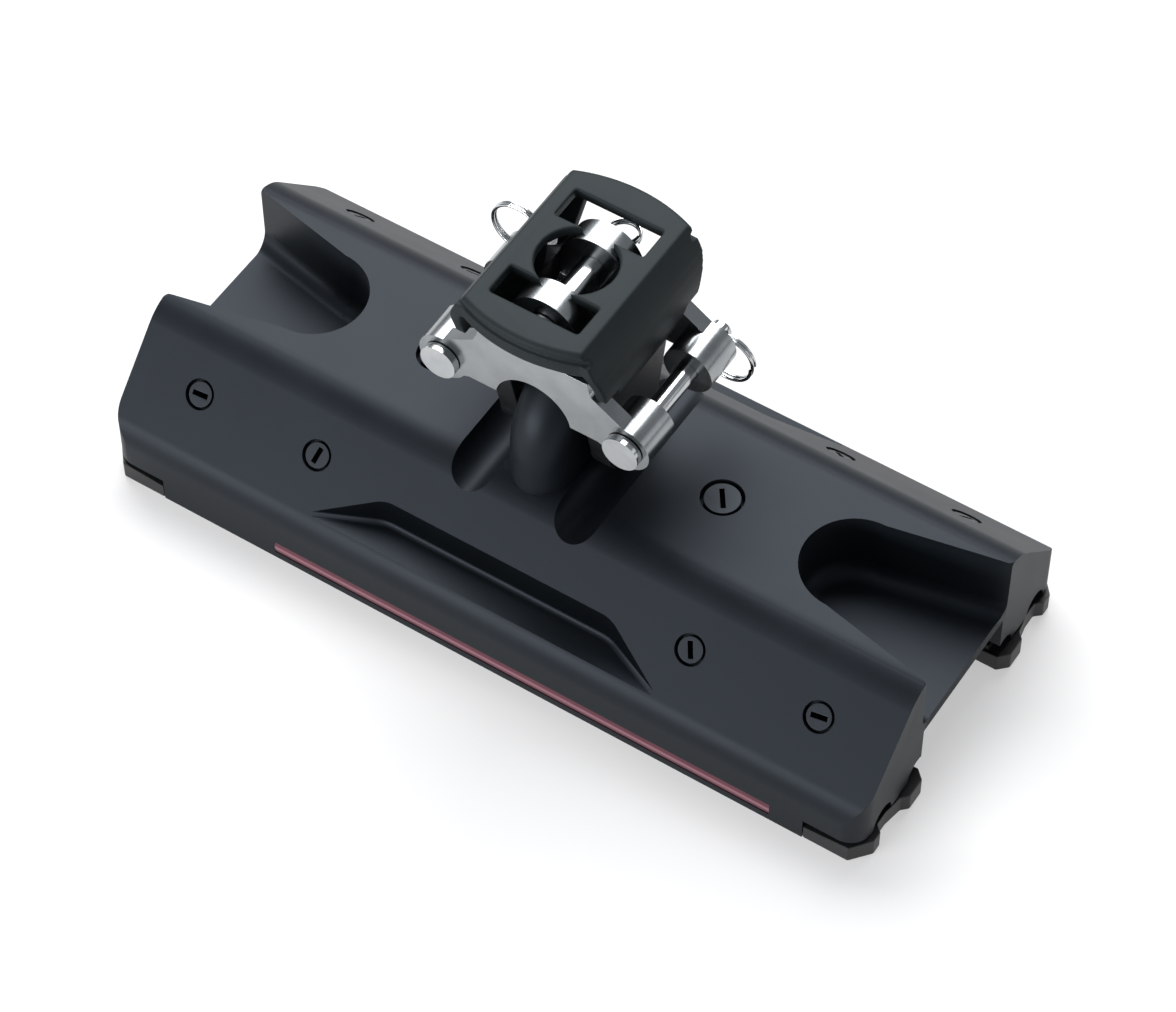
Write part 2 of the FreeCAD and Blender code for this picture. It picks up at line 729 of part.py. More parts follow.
# Bush pressed into the hump's bore, a little longer than the hump is wide
bush_half = cheek_inner - bush_end_gap
sleeve = rod("BushSleeve", bush_radius, 2 * bush_half, (-bush_half, 0, pivot_height), "X")
hole = rod("BushHole", pivot_radius + pivot_gap, 4 * hump_half,
           (-2 * hump_half, 0, pivot_height), "X")
keep("pivot_bush", cut("pivot_bush", sleeve, hole))

# Pivot pin: a head on one cheek, a groove and a clip beside the other
clip_at = cheek_outer + clip_gap
pin_end = clip_at + clip_thick + pivot_tail
shaft = rod("PivotShaft", pivot_radius, cheek_outer + pin_end,
            (-cheek_outer, 0, pivot_height), "X")
head = rod("PivotHead", pivot_radius + pivot_head_rim, pivot_head_thick,
           (-cheek_outer - pivot_head_thick, 0, pivot_height), "X")
groove_outer = rod("GrooveOuter", pivot_radius + 1, clip_thick, (clip_at, 0, pivot_height), "X")
groove_inner = rod("GrooveInner", pivot_radius - clip_groove, clip_thick,
                   (clip_at, 0, pivot_height), "X")
keep("pivot_pin", cut("pivot_pin", fuse("PivotBlank", [shaft, head]),
                      cut("PivotGroove", groove_outer, groove_inner)))
disc = rod("ClipDisc", clip_radius, clip_thick, (clip_at, 0, pivot_height), "X")
hole = rod("ClipHole", pivot_radius - clip_groove + pivot_gap, clip_thick + 2,
           (clip_at - 1, 0, pivot_height), "X")
mouth = block("ClipMouth", (clip_at - 1, -0.5 * pivot_radius, pivot_height),
              (clip_at + clip_thick + 1, 0.5 * pivot_radius, pivot_height + 2 * clip_radius))
keep("pivot_clip", cut("pivot_clip", disc, fuse("ClipOpening", [hole, mouth])))

# Pivot yoke: two cheeks beside the hump under one bridge
yoke = body("pivot_yoke")
outline = sketch(yoke, "YokeOutline", "YZ_Plane", [[
    (-cheek_radius, pivot_height), (-plate_inner, bridge_top - bridge_side),
    (-plate_inner, bridge_top), (plate_inner, bridge_top),
    (plate_inner, bridge_top - bridge_side), (cheek_radius, pivot_height)]])
pad(yoke, outline, 2 * cheek_outer)
eyes = sketch(yoke, "YokeEyes", "YZ_Plane", [], [(0, pivot_height, cheek_radius)])
pad(yoke, eyes, 2 * cheek_outer)
gap = sketch(yoke, "YokeGap", "XZ_Plane", [[
    (-cheek_inner, channel_floor), (cheek_inner, channel_floor),
    (cheek_inner, bridge_bottom), (-cheek_inner, bridge_bottom)]])
pocket(yoke, gap, 3 * plate_outer)
yoke_bore = sketch(yoke, "YokeBore", "YZ_Plane", [], [
    (0, pivot_height, pivot_radius + pivot_gap)])
pocket(yoke, yoke_bore, 3 * cheek_outer)
dress("Fillet", yoke, "YokeRound", 2.5,
      lambda a, b, m: near(m.z, bridge_bottom) and near(abs(m.x), cheek_inner)
      and abs(a.y - b.y) > 10)
keep("pivot_yoke", yoke)

# Toggle fork: a base on the bridge and two round ears with the clevis bore
fork = body("toggle_fork")
ears = sketch(fork, "ForkEars", "XZ_Plane", [[
    (-fork_half, bridge_top), (fork_half, bridge_top), (fork_half, fork_pin_height),
    (-fork_half, fork_pin_height)]])
pad(fork, ears, 2 * fork_outer)
tops = sketch(fork, "ForkTops", "XZ_Plane", [], [(0, fork_pin_height, fork_half)])
pad(fork, tops, 2 * fork_outer)
fork_gap = sketch(fork, "ForkGap", "YZ_Plane", [[
    (-fork_inner, fork_base), (fork_inner, fork_base), (fork_inner, boot_top + 10),
    (-fork_inner, boot_top + 10)]])
pocket(fork, fork_gap, 3 * fork_half)
fork_bore = sketch(fork, "ForkBore", "XZ_Plane", [], [
    (0, fork_pin_height, fork_pin_radius + running_gap)])
pocket(fork, fork_bore, 3 * fork_outer)
dress("Fillet", fork, "ForkRoot", 2.5,
      lambda a, b, m: near(m.z, fork_base) and near(abs(m.y), fork_inner)
      and abs(a.x - b.x) > 10)
keep("toggle_fork", fork)

# Control plates: a bone shape with thick lugs and an arch over the hump
for name, side in (("near", -1), ("far", 1)):
    plate = body("control_plate_" + name)
    start = -side * plate_inner
    lug_top = lug_height + lug_radius
    web = sketch(plate, name + "Web", "XZ_Plane", [[
        (-plate_half, plate_top), (-plate_half - 0.8, plate_shelf), (-lug_offset, lug_top - 0.2),
        (-lug_offset, lug_height), (-lug_offset + 5, plate_bottom - 1.6),
        (-lug_offset + 9, plate_bottom), (lug_offset - 9, plate_bottom),
        (lug_offset - 5, plate_bottom - 1.6), (lug_offset, lug_height),
        (lug_offset, lug_top - 0.2), (plate_half + 0.8, plate_shelf), (plate_half, plate_top)]],
        lift=start)
    pad(plate, web, plate_thick, "One side", side > 0)
    lugs = sketch(plate, name + "Lugs", "XZ_Plane", [], [
        (-lug_offset, lug_height, lug_radius), (lug_offset, lug_height, lug_radius)],
        lift=-side * lug_inner)
    pad(plate, lugs, plate_outer - lug_inner, "One side", side > 0)
    arch = sketch(plate, name + "Arch", "XZ_Plane", [], [(0, arch_height, arch_radius)])
    pocket(plate, arch, 3 * plate_outer)
    lug_bores = sketch(plate, name + "LugBores", "XZ_Plane", [], [
        (-lug_offset, lug_height, ear_pin_radius + running_gap),
        (lug_offset, lug_height, ear_pin_radius + running_gap)])
    pocket(plate, lug_bores, 3 * plate_outer)
    dress("Fillet", plate, name + "Shelf", 2.5,
          lambda a, b, m: near(m.z, plate_shelf) and near(abs(m.x), plate_half + 0.8)
          and abs(a.y - b.y) > 2)
    keep("control_plate_" + name, plate)


# Clevis pins: a head, a shank and a cross hole for the ring
def cross_hole(name, radius, at, direction):
    hole = rod(name, radius, 30, (0, 0, -15))
    holder = group(name + "Turned", [hole])
    turn = Rotation(Vector(0, 0, 1), Vector(*direction))
    holder.Placement = FreeCAD.Placement(Vector(*[number(value) for value in at]), turn)
    for letter, value in zip("xyz", at):
        bind(holder, "Placement.Base." + letter, value)
    return holder


ring_directions = {"left": 145, "right": -62}
for end, x in (("left", -1), ("right", 1)):
    turn = math.radians(ring_directions[end] + 90)
    head = rod(end + "EarHead", ear_pin_head, ear_pin_head_thick,
               (x * lug_offset, -plate_outer - face_gap - ear_pin_head_thick, lug_height), "Y")
    shank = rod(end + "EarShank", ear_pin_radius, 2 * plate_outer + face_gap + ear_pin_tail,
                (x * lug_offset, -plate_outer - face_gap, lug_height), "Y")
    hole = cross_hole(end + "EarHole", ear_ring_hole,
                      (x * lug_offset, ear_ring_plane, lug_height),
                      (math.cos(turn), 0, math.sin(turn)))
    keep("ear_pin_" + end, cut("ear_pin_" + end, fuse(end + "EarBlank", [head, shank]), hole))
head = rod("ForkPinHead", fork_pin_head, fork_pin_head_thick,
           (0, -fork_outer - face_gap - fork_pin_head_thick, fork_pin_height), "Y")
shank = rod("ForkPinShank", fork_pin_radius, 2 * fork_outer + face_gap + 0.5,
            (0, -fork_outer - face_gap, fork_pin_height), "Y")
tail = rod("ForkPinTail", fork_pin_tail_radius, fork_pin_tail,
           (0, fork_outer, fork_pin_height), "Y")
hole = cross_hole("ForkPinHole", fork_ring_hole, (0, fork_ring_plane, fork_pin_height), (1, 0, 0))
keep("fork_pin", cut("fork_pin", fuse("ForkPinBlank", [head, shank, tail]), hole))


# Split rings: a four-sided wire turned about the ring's own centre
def ring(name, radius, at, normal):
    item = body(name)
    flat = [(radius + ring_wire * c, ring_wire * s) for c, s in (
        (1, 0), (0, 1), (-1, 0), (0, -1))]
    section_sketch = sketch(item, name + "_section", "XZ_Plane", [flat])
    turned = item.newObject("PartDesign::Revolution", name + "_turn")
    turned.Profile = section_sketch
    turned.ReferenceAxis = (section_sketch, ["V_Axis"])
    turned.Angle = 360
    turn = Rotation(Vector(0, 0, 1), Vector(*normal))
    item.Placement = FreeCAD.Placement(Vector(*[number(value) for value in at]), turn)
    for letter, value in zip("xyz", at):
        bind(item, "Placement.Base." + letter, value)
    keep(name, item)


for end, x in (("left", -1), ("right", 1)):
    turn = math.radians(ring_directions[end])
    centre = (x * lug_offset + math.cos(turn) * ear_ring_radius, ear_ring_plane,
              lug_height + math.sin(turn) * ear_ring_radius)
    ring("ear_ring_" + end, ear_ring_radius, centre, (0, 1, 0))
ring("fork_ring", fork_ring_radius, (0, fork_ring_plane + fork_ring_radius, fork_pin_height),
     (0, 0, 1))

# Boot: a barrel-sided cover, bowed near and far, open below, with a window in its top
def flanks(name, trim):
    reach = 2 * boot_depth
    rods = [rod(name + side, boot_flank - trim, reach, (way * (boot_half - boot_flank),
                                                        -boot_depth, boot_waist), "Y")
            for side, way in (("Left", -1), ("Right", 1))]
    return common(name, rods + [block(name + "Height", (-boot_half, -boot_depth, boot_bottom - 1),
                                      (boot_half, boot_depth, boot_top - trim))])


def bowed(name, outline):
    turned = []
    for place, side in (("Near", -1), ("Far", 1)):
        item = body(name + place)
        form = sketch(item, name + place + "Side", "YZ_Plane", [
            [(side * (boot_bow + depth), height) for depth, height in outline]
            + [(0, outline[-1][1]), (0, outline[0][1])]], across=-side * boot_bow)
        turn = item.newObject("PartDesign::Revolution", name + place + "Turn")
        turn.Profile = form
        turn.ReferenceAxis = (form, ["V_Axis"])
        turn.Angle = 360
        turned.append(item)
    doc.recompute()
    return common(name, turned)


cover = bowed("BootCover", [
    (boot_seat_depth, plate_top), (boot_depth, boot_knee),
    (boot_depth, boot_groove_height - boot_groove_half),
    (boot_depth - boot_groove, boot_groove_height - boot_groove_half),
    (boot_depth - boot_groove, boot_groove_height + boot_groove_half),
    (boot_depth, boot_groove_height + boot_groove_half), (boot_depth, boot_top - 1),
    (boot_depth - 1, boot_top)])
skirt = body("BootSkirt")
hanging = sketch(skirt, "BootHanging", "YZ_Plane", [[
    (-boot_side_depth, boot_bottom), (boot_side_depth, boot_bottom),
    (boot_side_depth, plate_top + 2), (-boot_side_depth, plate_top + 2)]])
pad(skirt, hanging, 2 * boot_half)
dress("Fillet", skirt, "SkirtCorner", boot_corner,
      lambda a, b, m: near(m.z, boot_bottom) and near(abs(m.y), boot_side_depth))
wing_foot = plate_outer + boot_wing_foot
wing_head = plate_outer + boot_wing_head
wing_top = boot_groove_height - boot_groove_half
upright = body("BootUpright")
standing = sketch(upright, "BootStanding", "YZ_Plane", [[
    (-wing_foot, plate_top - boot_wing_drop), (wing_foot, plate_top - boot_wing_drop),
    (wing_head, boot_knee), (wing_head, wing_top), (-wing_head, wing_top),
    (-wing_head, boot_knee)]])
pad(upright, standing, 2 * boot_half)
wings = cut("BootWings", upright, flanks("WingRoom", boot_wall))
room = bowed("BootRoom", [
    (boot_seat_depth - boot_wall, plate_top - 1), (boot_seat_depth - boot_wall, plate_top + 1.5),
    (boot_depth - boot_wall, boot_knee + 1), (boot_depth - boot_wall, boot_top - boot_wall)])
opening = block("BootOpening", (-boot_half, -boot_depth, boot_bottom - 1),
                (boot_half, boot_depth, plate_top))
openings = [common("BootInside", [flanks("RoomFlanks", boot_wall),
                                  fuse("RoomDepth", [room, opening])])]
for name, side in (("Near", -1), ("Far", 1)):
    low, high = sorted([side * window_inner, side * window_outer], key=number)
    openings.append(block(name + "Window", (-window_half, low, boot_top - 10),
                          (window_half, high, boot_top + 5)))
openings.append(rod("RoundWindow", window_radius, 15, (0, 0, boot_top - 10)))
openings.append(block("Access", (-access_half, boot_side_depth, plate_top),
                      (access_half, boot_depth + 5, boot_top - access_drop)))
outside = common("BootOutside", [flanks("BootFlanks", 0), fuse("BootDepth", [cover, skirt, wings])])
keep("boot", cut("boot", outside, fuse("BootOpenings", openings)))
doc.recompute()

# Checks and files
for item in doc.Objects:
    if "Invalid" in item.State or "Error" in item.State:
        raise ValueError(item.Name + " " + str(item.State))
for name, item in pieces.items():
    shape = item.Shape
    if shape.isNull() or not shape.isValid() or not shape.Solids:
        raise ValueError(name + " has no sound solid")
    shape.exportStep("parts/" + name + ".step")
    box = shape.BoundBox
    print(name, len(shape.Solids), round(shape.Volume), [round(value, 1) for value in (
        box.XMin, box.XMax, box.YMin, box.YMax, box.ZMin, box.ZMax)])
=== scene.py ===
import bpy
import bmesh
import json
import math
from mathutils import Matrix, Vector


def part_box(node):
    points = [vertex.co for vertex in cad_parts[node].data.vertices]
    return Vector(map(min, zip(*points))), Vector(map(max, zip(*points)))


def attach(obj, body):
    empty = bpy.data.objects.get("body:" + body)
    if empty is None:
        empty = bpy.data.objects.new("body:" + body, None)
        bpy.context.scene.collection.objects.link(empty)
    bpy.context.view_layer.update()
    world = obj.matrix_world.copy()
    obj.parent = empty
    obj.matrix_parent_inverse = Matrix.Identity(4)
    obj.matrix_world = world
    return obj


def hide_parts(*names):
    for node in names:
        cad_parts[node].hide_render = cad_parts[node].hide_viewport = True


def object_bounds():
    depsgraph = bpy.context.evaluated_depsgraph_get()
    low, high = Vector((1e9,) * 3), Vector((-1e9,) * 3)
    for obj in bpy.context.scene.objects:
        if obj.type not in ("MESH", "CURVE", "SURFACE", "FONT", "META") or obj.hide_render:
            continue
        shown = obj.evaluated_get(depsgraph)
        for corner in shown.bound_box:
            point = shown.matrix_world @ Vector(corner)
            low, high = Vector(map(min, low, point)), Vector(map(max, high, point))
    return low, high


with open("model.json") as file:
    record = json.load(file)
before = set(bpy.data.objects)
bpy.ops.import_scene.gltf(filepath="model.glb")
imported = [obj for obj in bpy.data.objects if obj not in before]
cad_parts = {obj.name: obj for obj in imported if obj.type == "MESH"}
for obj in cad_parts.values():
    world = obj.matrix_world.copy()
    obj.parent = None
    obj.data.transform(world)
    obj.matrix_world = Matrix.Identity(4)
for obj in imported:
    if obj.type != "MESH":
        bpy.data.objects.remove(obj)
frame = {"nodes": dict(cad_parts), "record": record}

# Mainsheet traveller car: finishes, soft edges, wound rings, studio and camera.
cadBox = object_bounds()
mm = 0.001
nodes = frame["nodes"]
bodyOf = {}
for bodyName, held in frame["record"]["behaviour"]["bodies"].items():
    for nodeName in held:
        bodyOf[nodeName] = bodyName
slotOf = {part["node"]: part["material_slot"] for part in frame["record"]["subparts"]}


# Shader sums: a node's output that can stand in a Python expression
class Wire:
    def __init__(self, board, socket):
        self.board = board
        self.socket = socket

    def calc(self, operation, *values):
        return self.board.add("Math", {"operation": operation}, dict(enumerate(values)))

    def __add__(self, other):
        return self.calc("ADD", self, other)

    __radd__ = __add__

    def __sub__(self, other):
        return self.calc("SUBTRACT", self, other)

    def __mul__(self, other):
        return self.calc("MULTIPLY", self, other)

    # 0 below the edge and 1 above it, with a soft passage between
    def above(self, edge, soft):
        ramp = {"interpolation_type": "SMOOTHSTEP"}
        return self.board.add("MapRange", ramp, {"Value": self, "From Min": edge - soft,
                                                 "From Max": edge + soft})


# A material or a world under construction
class Board:
    def __init__(self, name, tree=None):
        if tree is None:
            self.material = bpy.data.materials.new(name)
            self.material.use_nodes = True
            tree = self.material.node_tree
        self.tree = tree
        tree.nodes.clear()

    def add(self, kind, settings=None, values=None, output=0):
        node = self.tree.nodes.new("ShaderNode" + kind)
        for field, value in (settings or {}).items():
            setattr(node, field, value)
        for key, value in (values or {}).items():
            socket = node.inputs[key]
            if isinstance(value, Wire):
                self.tree.links.new(value.socket, socket)
            elif isinstance(value, tuple) and len(value) == 3 and socket.type == "RGBA":
                socket.default_value = (*value, 1)
            else:
                socket.default_value = value
        return Wire(self, node.outputs[output]) if node.outputs else None

    def noise(self, scale, detail, rough):
        spot = self.add("TexCoord", output="Object")
        return self.add("TexNoise", {}, {"Vector": spot, "Scale": scale, "Detail": detail,
                                         "Roughness": rough})

    def height(self):
        spot = self.add("TexCoord", output="Object")
        return self.add("SeparateXYZ", {}, {"Vector": spot}, output="Z")

    def mix(self, factor, first, second):
        return self.add("Mix", {"data_type": "RGBA"}, {0: factor, 6: first, 7: second}, output=2)

    def bump(self, height, distance):
        return self.add("Bump", {}, {"Height": height, "Distance": distance, "Strength": 1.0})

    def blend(self, factor, first, second):
        return self.add("MixShader", {}, {0: factor, 1: first, 2: second})

    def surface(self, shader, kind="Material"):
        self.add("Output" + kind, {}, {"Surface": shader})


# Every finish: two close tones by a drifting noise, and a finer noise for grain and relief
noises = {"driftDetail": 4, "driftRough": 0.5, "grainDetail": 2, "grainRough": 0.6,
          "driftShare": 0.7, "grainShare": 0.3, "toneEdge": 0.5, "toneSoft": 0.22,
          "grainRoughShare": 0.5, "middleSoft": 0.25 * mm}


# One look; "middle" is a painted highlight, a lighter line along a bar's centre; faces marked
# with the painted-shade attribute get painted shade, a flat dark diffuse mixed in
def finish(name, look):
    board = Board(name)
    drift = board.noise(look["driftScale"], noises["driftDetail"], noises["driftRough"])
    grain = board.noise(look["grainScale"], noises["grainDetail"], noises["grainRough"])
    tone = (drift * noises["driftShare"] + grain * noises["grainShare"]).above(
        noises["toneEdge"], noises["toneSoft"])
    spread = look["roughSpread"]
    rough = look["roughness"] + (drift - 0.5) * spread + (
        grain - 0.5) * spread * noises["grainRoughShare"]
    colour = board.mix(tone, look["dark"], look["light"])
    # Painted highlight: a lighter band of the "middle" colour at a set height along the bar,
    # standing in for the sheen on a crowned stripe
    if "middle" in look:
        offset = board.height() - look["middleHeight"]
        aside = offset.calc("ABSOLUTE", offset)
        colour = board.mix(aside.above(look["middleHalf"], noises["middleSoft"]),
                           look["middle"], colour)
    values = {"Base Color": colour, "Roughness": rough, "Metallic": look.get("metallic", 0.0),
              "Normal": board.bump(grain, look["grainDepth"])}
    values.update(look.get("shader", {}))
    face = board.add("BsdfPrincipled", {}, values)
    # Painted shade: faces marked with the painted-shade attribute mix in a flat dark diffuse, so
    # recesses read dark under any light
    if "painted_shade" in look:
        painted_shade = board.add("BsdfDiffuse", {}, {"Color": look["painted_shade"]})
        inPaintedShade = board.add("Attribute", {"attribute_name": "painted_shade"}, output="Fac")
        face = board.blend(inPaintedShade, face, painted_shade)
    board.surface(face)
    return board.material


looks = {
    "anodised": {"dark": (0.0048, 0.006, 0.0076), "light": (0.0068, 0.0084, 0.0105),
                 # painted shade colour for the upright walls of the milled steps
                 "painted_shade": (0.0008, 0.0012, 0.0018),
                 "roughness": 0.46, "roughSpread": 0.07, "driftScale": 60, "grainScale": 2600,
                 "grainDepth": 0.008 * mm,
                 "shader": {"IOR": 1.29, "Specular Tint": (0.73, 0.84, 1.0)}},
    "stripe": {"dark": (0.082, 0.017, 0.03), "light": (0.105, 0.026, 0.04),
               # "middle": painted highlight colour, a lighter line along the stripe's centre
               "middle": (0.24, 0.1, 0.13), "middleHeight": 4.9 * mm, "middleHalf": 0.6 * mm,
               "roughness": 0.34, "roughSpread": 0.08, "driftScale": 90, "grainScale": 1800,
               "grainDepth": 0.006 * mm, "shader": {"IOR": 1.45}},
    "cap": {"dark": (0.004, 0.0045, 0.005), "light": (0.009, 0.0095, 0.0105),
            "roughness": 0.46, "roughSpread": 0.1, "driftScale": 120, "grainScale": 3200,
            "grainDepth": 0.02 * mm, "shader": {"IOR": 1.45}},
    "ball": {"dark": (0.46, 0.37, 0.2), "light": (0.56, 0.46, 0.27),
             "roughness": 0.3, "roughSpread": 0.06, "driftScale": 150, "grainScale": 2500,
             "grainDepth": 0.005 * mm},
    "screw": {"dark": (0.003, 0.0035, 0.004), "light": (0.006, 0.0068, 0.008),
              # painted shade colour for the screw slots
              "painted_shade": (0.002, 0.002, 0.002),
              "roughness": 0.4, "roughSpread": 0.1, "driftScale": 200, "grainScale": 3000,
              "grainDepth": 0.01 * mm,
              "shader": {"IOR": 1.34, "Specular Tint": (0.73, 0.84, 1.0)}},
    "bush": {"dark": (0.008, 0.008, 0.009), "light": (0.014, 0.014, 0.015),
             "roughness": 0.45, "roughSpread": 0.08, "driftScale": 150, "grainScale": 2600,
             "grainDepth": 0.01 * mm},
    "steel": {"dark": (0.42, 0.435, 0.445), "light": (0.52, 0.53, 0.54), "metallic": 1.0,
              "roughness": 0.17, "roughSpread": 0.08, "driftScale": 140, "grainScale": 2600,
              "grainDepth": 0.0012 * mm},
    "spring_steel": {"dark": (0.3, 0.31, 0.32), "light": (0.42, 0.43, 0.44), "metallic": 1.0,
                     "roughness": 0.28, "roughSpread": 0.1, "driftScale": 160,
                     "grainScale": 2600, "grainDepth": 0.006 * mm},
    "coated": {"dark": (0.0035, 0.004, 0.005), "light": (0.007, 0.008, 0.0095),
               "roughness": 0.42, "roughSpread": 0.1, "driftScale": 120, "grainScale": 2600,
               "grainDepth": 0.012 * mm, "shader": {"IOR": 1.45}},
    "polished": {"dark": (0.27, 0.285, 0.295), "light": (0.36, 0.375, 0.385), "metallic": 1.0,
                 "roughness": 0.24, "roughSpread": 0.1, "driftScale": 110, "grainScale": 2600,
                 "grainDepth": 0.0015 * mm},
    "wire": {"dark": (0.5, 0.51, 0.52), "light": (0.64, 0.65, 0.66), "metallic": 1.0,
             "roughness": 0.14, "roughSpread": 0.06, "driftScale": 200, "grainScale": 2600,
             "grainDepth": 0.0012 * mm},
    "boot": {"dark": (0.0135, 0.0163, 0.0177), "light": (0.0185, 0.0224, 0.024),
             "roughness": 0.48, "roughSpread": 0.1, "driftScale": 70, "grainScale": 3400,
             "grainDepth": 0.02 * mm,
             "shader": {"IOR": 1.2, "Specular Tint": (0.8, 0.95, 1.0)}}}
finishes = {slotName: finish(slotName, look) for slotName, look in looks.items()}
for nodeName, item in nodes.items():
    item.data.materials.clear()
    item.data.materials.append(finishes[slotOf[nodeName]])
print("finishes made:", len(finishes))


# Modelling helpers
def pick(item):
    bpy.ops.object.select_all(action="DESELECT")
    item.select_set(True)
    bpy.context.view_layer.objects.active = item


def applyAll(item):
    pick(item)
    for modifier in list(item.modifiers):
        bpy.ops.object.modifier_apply(modifier=modifier.name)


def smoothByAngle(degrees):
    bpy.ops.object.shade_smooth_by_angle(angle=math.radians(degrees))


# Gives a new piece its name, finish, body and slot, and lets it stand for the node
def replaceNode(item, name, nodeName):
    item.name = name
    item.data.name = name
    item.data.materials.clear()
    item.data.materials.append(finishes[slotOf[nodeName]])
    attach(item, bodyOf[nodeName])
    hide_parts(nodeName)


# A clean copy of a node: corners joined, and flat faces made whole up to the given angle
cleaning = {"joined": 0.002 * mm, "flatAngle": 0.6}


def cleanCopy(nodeName, name, flatAngle=None):
    item = bpy.data.objects.new(name, nodes[nodeName].data.copy())
    bpy.context.collection.objects.link(item)
    pick(item)
    bpy.ops.object.mode_set(mode="EDIT")
    bpy.ops.mesh.select_all(action="SELECT")
    bpy.ops.mesh.remove_doubles(threshold=cleaning["joined"])
    if flatAngle:
        bpy.ops.mesh.dissolve_limited(angle_limit=math.radians(flatAngle))
    bpy.ops.object.mode_set(mode="OBJECT")
    if item.data.has_custom_normals:
        bpy.ops.mesh.customdata_custom_splitnormals_clear()
    return item


# Screws: the slots run deeper, and their floors and walls are marked for painted shade (a dark
# diffuse mixed in), so that they read dark
slotCut = {"depth": 1.2 * mm, "drop": 1.0 * mm, "slack": 0.2 * mm, "headArea": 12 * mm * mm,
           "headRise": 0.6, "alike": 0.999}


def sinkSlots(item):
    shape = bmesh.new()
    shape.from_mesh(item.data)
    painted_shade = shape.faces.layers.float.new("painted_shade")
    for axis in {tuple(round(part, 2) for part in face.normal) for face in shape.faces
                 if face.normal.z > slotCut["headRise"]
                 and face.calc_area() > slotCut["headArea"]}:
        aim = Vector(axis)
        flat = [(face, face.calc_center_median().dot(aim)) for face in shape.faces
                if face.normal.dot(aim) > slotCut["alike"]]
        floorLevel = max(level for face, level in flat) - slotCut["depth"]
        floors = [face for face, level in flat if abs(floorLevel - level) < slotCut["slack"]]
        for corner in {corner for face in floors for corner in face.verts}:
            corner.co -= aim.normalized() * slotCut["drop"]
            for wall in corner.link_faces:
                wall[painted_shade] = 1
    shape.to_mesh(item.data)
    shape.free()


# Milled steps: their upright walls get painted shade, a dark diffuse mixed in at the given
# share, so that they read darker
stepWalls = {"floor": 24.8 * mm, "tip": 63 * mm, "wall": 43.2 * mm, "outside": 56 * mm,
             "upright": 0.1, "paintedShadeShare": 0.7}


def shadeSteps(item):
    shape = bmesh.new()
    shape.from_mesh(item.data)
    painted_shade = shape.faces.layers.float.new("painted_shade")
    for face in shape.faces:
        middle = face.calc_center_median()
        if (abs(face.normal.z) < stepWalls["upright"] and middle.z > stepWalls["floor"]
                and abs(middle.x) < stepWalls["tip"]
                and stepWalls["wall"] < abs(middle.y) < stepWalls["outside"]):
            face[painted_shade] = stepWalls["paintedShadeShare"]
    shape.to_mesh(item.data)
    shape.free()


# Ridge tips: the points where ridge, scoop wall and end face meet are rounded off
tips = {"round": 2.2 * mm, "segments": 4, "endSlack": 0.01 * mm, "fromMiddle": 15 * mm}


def roundTips(item):
    corners = item.data.vertices
    reach = max(corner.co.x for corner in corners) - tips["endSlack"]
    chosen = []
    for endSide in (-1, 1):
        for legSide in (-1, 1):
            endCorners = [corner for corner in corners if corner.co.x * endSide > reach
                          and corner.co.y * legSide > tips["fromMiddle"]]
            chosen.append(max(endCorners, key=lambda corner: corner.co.z).index)
    pick(item)
    bpy.ops.object.mode_set(mode="EDIT")
    bpy.ops.mesh.select_mode(type="VERT")
    bpy.ops.mesh.select_all(action="DESELECT")
    bpy.ops.object.mode_set(mode="OBJECT")
    for index in chosen:
        item.data.vertices[index].select = True
    bpy.ops.object.mode_set(mode="EDIT")
    bpy.ops.mesh.bevel(offset=tips["round"], segments=tips["segments"], affect="VERTICES",
                       clamp_overlap=True)
    bpy.ops.object.mode_set(mode="OBJECT")


# Scoops: the round at the foot of their walls is drawn tighter
scoop = {"centre": 93.5 * mm, "bowl": 16.5 * mm, "mouthPlace": 132.5 * mm, "mouth": 24.6 * mm,
         "floor": 27.4 * mm, "drawn": 9 * mm, "tight": 5.5 * mm, "slack": 0.05 * mm}


def tightenScoops(item):
    run = Vector((scoop["mouthPlace"] - scoop["centre"], scoop["mouth"] - scoop["bowl"]))
    sideways = Vector((-run.y, run.x)).normalized()
    moved = 0
    for corner in item.data.vertices:
        endSide = 1 if corner.co.x > 0 else -1
        legSide = 1 if corner.co.y > 0 else -1
        spot = Vector((abs(corner.co.x) - scoop["centre"], abs(corner.co.y)))
        if spot.x < 0:
            outward = spot.normalized()
            inside = scoop["bowl"] - spot.length
        else:
            outward = sideways
            inside = (Vector((0, scoop["bowl"])) - spot).dot(sideways)
        height = corner.co.z - scoop["floor"]
        limit = scoop["drawn"] + scoop["slack"]
        if -scoop["slack"] < inside < limit and -scoop["slack"] < height < limit:
            turn = math.atan2(scoop["drawn"] - inside, scoop["drawn"] - height)
            nextInside = scoop["tight"] * (1 - math.sin(turn))
            nextHeight = scoop["tight"] * (1 - math.cos(turn))
            shift = outward * (inside - nextInside)
            corner.co.x += shift.x * endSide
            corner.co.y += shift.y * legSide
            corner.co.z = scoop["floor"] + nextHeight
            moved += 1
    item.data.update()
    print("scoop corners moved:", moved)


# Broken edges: width in millimetres, segments and least angle, for each node
softEdges = {
    "car_body": (0.35, 2, 30),
    "control_plate_near": (0.55, 3, 30), "control_plate_far": (0.55, 3, 30),
    "toggle_fork": (0.8, 3, 30), "pivot_yoke": (0.6, 2, 30), "fork_pin": (0.45, 2, 40),
    "ear_pin_left": (0.45, 2, 40), "ear_pin_right": (0.45, 2, 40), "pivot_pin": (0.4, 2, 40),
    "pivot_clip": (0.2, 2, 40), "slope_screws": (0.18, 2, 40), "centre_screws": (0.25, 2, 40),
    "cap_left_near": (0.4, 2, 30), "cap_left_far": (0.4, 2, 30),
    "cap_right_near": (0.4, 2, 30), "cap_right_far": (0.4, 2, 30)}
edgeShading = {"angle": 28, "flatWeight": 80}


